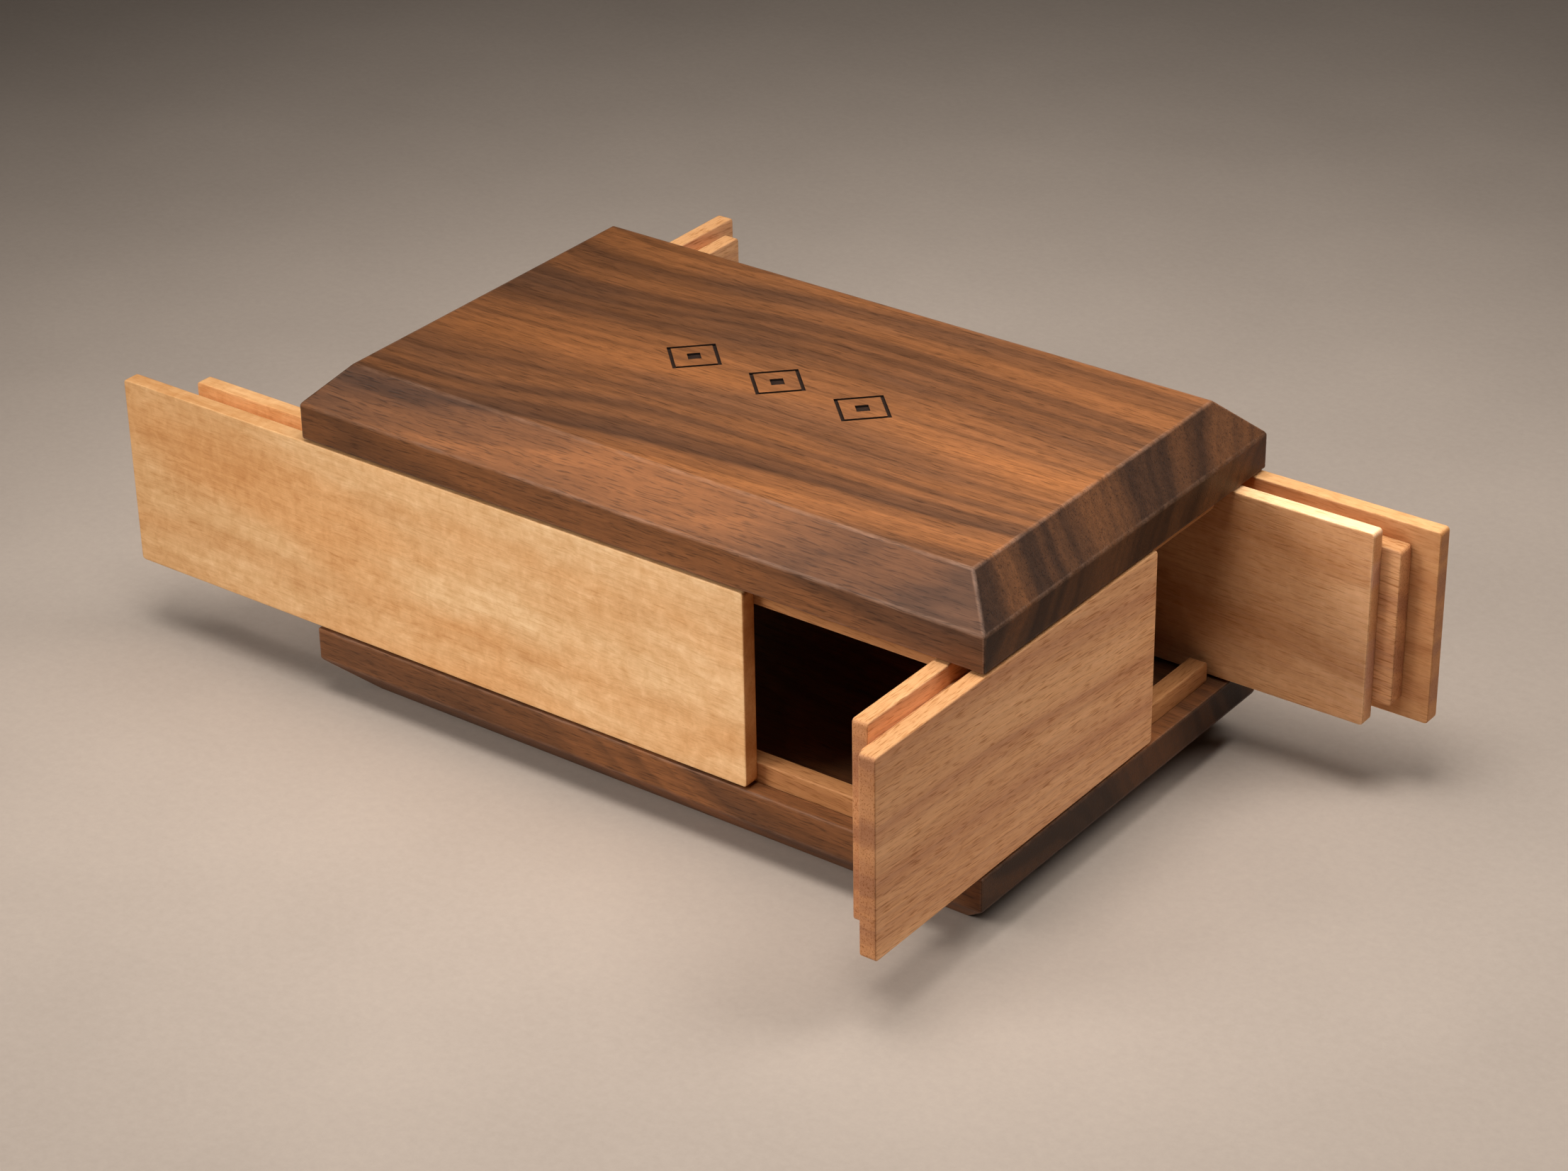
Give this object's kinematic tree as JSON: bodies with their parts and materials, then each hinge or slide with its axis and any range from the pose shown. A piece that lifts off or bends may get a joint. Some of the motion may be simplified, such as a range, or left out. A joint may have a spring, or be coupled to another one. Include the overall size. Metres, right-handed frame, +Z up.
{
  "type": "wooden puzzle box",
  "caption": "Rectangular wooden puzzle box: a bevelled lid and base with four layered side panels that slide open together in a pinwheel.",
  "frame": {"origin": "centre of the base's flat underside, on the surface it stands on", "axes": "+X along the long front side to the right, +Y from the front to the back, +Z up"},
  "size_m": [0.3103, 0.209, 0.091],
  "materials": {
    "walnut": "oiled satin",
    "golden_panel": "oiled satin",
    "panel_core": "oiled satin",
    "maple_rail": "oiled satin"
  },
  "bodies": {
    "base": {"base": "walnut", "base_rail_front": "maple_rail", "base_rail_right": "maple_rail", "base_rail_back": "maple_rail", "base_rail_left": "maple_rail"},
    "lid": {"lid": "walnut", "lid_rail_front": "maple_rail", "lid_rail_right": "maple_rail", "lid_rail_back": "maple_rail", "lid_rail_left": "maple_rail"},
    "front_panel": {"front_outer_plate": "golden_panel", "front_spacer": "panel_core", "front_inner_plate": "golden_panel"},
    "right_panel": {"right_outer_plate": "golden_panel", "right_spacer": "panel_core", "right_inner_plate": "golden_panel"},
    "back_panel": {"back_outer_plate": "golden_panel", "back_spacer": "panel_core", "back_inner_plate": "golden_panel"},
    "left_panel": {"left_outer_plate": "golden_panel", "left_spacer": "panel_core", "left_inner_plate": "golden_panel"}
  },
  "joints": [
    {"name": "front_panel_slide", "type": "slide", "parent": "base", "child": "front_panel", "axis": [-1, 0, 0], "range_m": [-0.061, 0.02]},
    {"name": "right_panel_slide", "type": "slide", "parent": "base", "child": "right_panel", "axis": [0, -1, 0], "range_m": [-0.0411, 0.0136]},
    {"name": "back_panel_slide", "type": "slide", "parent": "base", "child": "back_panel", "axis": [1, 0, 0], "range_m": [-0.0494, 0.0163]},
    {"name": "left_panel_slide", "type": "slide", "parent": "base", "child": "left_panel", "axis": [0, 1, 0], "range_m": [-0.0481, 0.0159]},
    {"name": "lid_lift", "type": "slide", "parent": "base", "child": "lid", "axis": [0, 0, 1], "range_m": [0, 0.05]}
  ],
  "couplings": [
    {"joint": "right_panel_slide", "follows": "front_panel_slide", "ratio": 0.67213},
    {"joint": "back_panel_slide", "follows": "front_panel_slide", "ratio": 0.8082},
    {"joint": "left_panel_slide", "follows": "front_panel_slide", "ratio": 0.78688}
  ]
}
